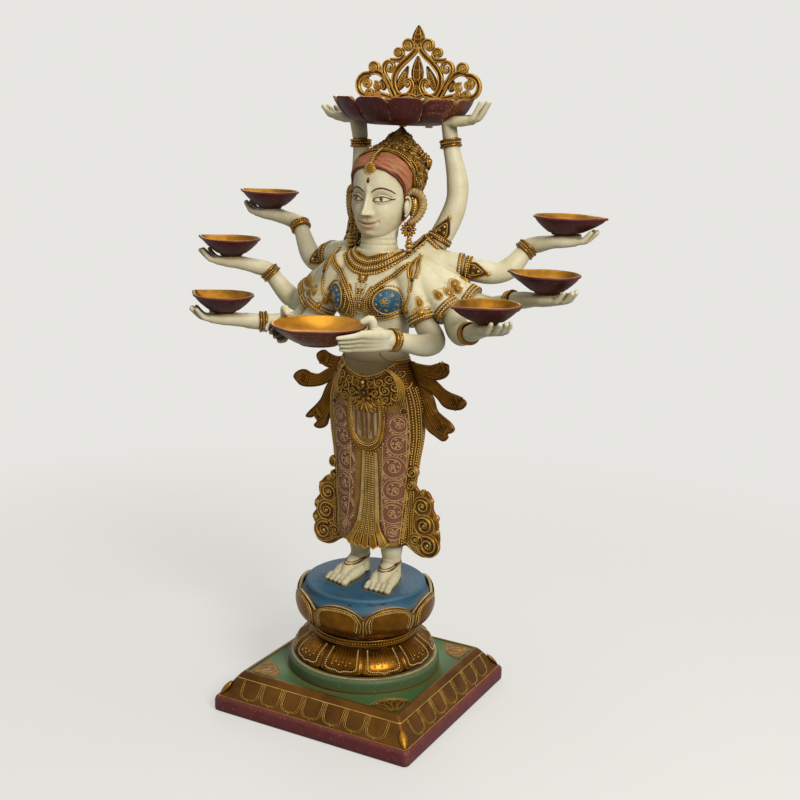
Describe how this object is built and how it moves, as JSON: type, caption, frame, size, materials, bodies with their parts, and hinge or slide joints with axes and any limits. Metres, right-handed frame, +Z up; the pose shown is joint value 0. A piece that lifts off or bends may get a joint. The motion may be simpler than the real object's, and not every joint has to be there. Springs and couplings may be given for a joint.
{
  "type": "multi-arm oil lamp figure",
  "caption": "Painted cast-brass lamp figure on a lotus pedestal, whose arms hold leaf-shaped oil dishes; side dishes turn on the palms, a petalled dish and scroll arch stand above the head.",
  "frame": {"origin": "middle of the square plinth on the plane that it stands on", "axes": "+Z up, -Y the way the figure faces, +X the figure's own left"},
  "size_m": [0.4639, 0.292, 0.7385],
  "materials": {
    "brown_gold_paint": "aged paint, satin",
    "green_paint": "aged paint, satin",
    "lotus_gold": "antique gold with dark recesses",
    "blue_paint": "aged paint, satin",
    "mauve_paint": "aged paint, satin",
    "antique_gold": "antique gold with dark recesses",
    "ivory_paint": "aged ivory paint with ochre grime",
    "maroon_paint": "chipped maroon paint, gold inside",
    "plain_brass": "plain turned brass"
  },
  "bodies": {
    "lamp_figure": {"base_plinth": "brown_gold_paint", "pedestal_foot": "green_paint", "lotus_cup": "lotus_gold", "platform": "blue_paint", "tie_bolt": "plain_brass", "tie_nut": "plain_brass", "foot_screws": "plain_brass", "lower_body": "mauve_paint", "left_hem_scroll": "antique_gold", "right_hem_scroll": "antique_gold", "left_hip_sash": "antique_gold", "right_hip_sash": "antique_gold", "torso": "ivory_paint", "head": "ivory_paint", "crown": "antique_gold", "dowels": "plain_brass", "left_front_arm": "ivory_paint", "left_low_arm": "ivory_paint", "left_mid_arm": "ivory_paint", "left_high_arm": "ivory_paint", "left_raised_arm": "ivory_paint", "right_front_arm": "ivory_paint", "right_low_arm": "ivory_paint", "right_mid_arm": "ivory_paint", "right_high_arm": "ivory_paint", "right_raised_arm": "ivory_paint", "front_dish": "maroon_paint", "top_dish": "maroon_paint", "dish_pins": "plain_brass", "arch": "antique_gold", "arch_screws": "plain_brass"},
    "left_low_dish": {"left_low_dish": "maroon_paint"},
    "left_mid_dish": {"left_mid_dish": "maroon_paint"},
    "left_high_dish": {"left_high_dish": "maroon_paint"},
    "right_low_dish": {"right_low_dish": "maroon_paint"},
    "right_mid_dish": {"right_mid_dish": "maroon_paint"},
    "right_high_dish": {"right_high_dish": "maroon_paint"}
  },
  "joints": [
    {"name": "left_low_dish_swivel", "type": "hinge", "parent": "lamp_figure", "child": "left_low_dish", "pos_m": [0.155, -0.05, 0.453], "axis": [0, 0, 1], "continuous": true},
    {"name": "left_mid_dish_swivel", "type": "hinge", "parent": "lamp_figure", "child": "left_mid_dish", "pos_m": [0.192, 0.008, 0.479], "axis": [0, 0, 1], "continuous": true},
    {"name": "left_high_dish_swivel", "type": "hinge", "parent": "lamp_figure", "child": "left_high_dish", "pos_m": [0.178, 0.082, 0.53], "axis": [0, 0, 1], "continuous": true},
    {"name": "right_low_dish_swivel", "type": "hinge", "parent": "lamp_figure", "child": "right_low_dish", "pos_m": [-0.157, -0.05, 0.431], "axis": [0, 0, 1], "continuous": true},
    {"name": "right_mid_dish_swivel", "type": "hinge", "parent": "lamp_figure", "child": "right_mid_dish", "pos_m": [-0.189, 0.008, 0.485], "axis": [0, 0, 1], "continuous": true},
    {"name": "right_high_dish_swivel", "type": "hinge", "parent": "lamp_figure", "child": "right_high_dish", "pos_m": [-0.186, 0.082, 0.534], "axis": [0, 0, 1], "continuous": true}
  ]
}
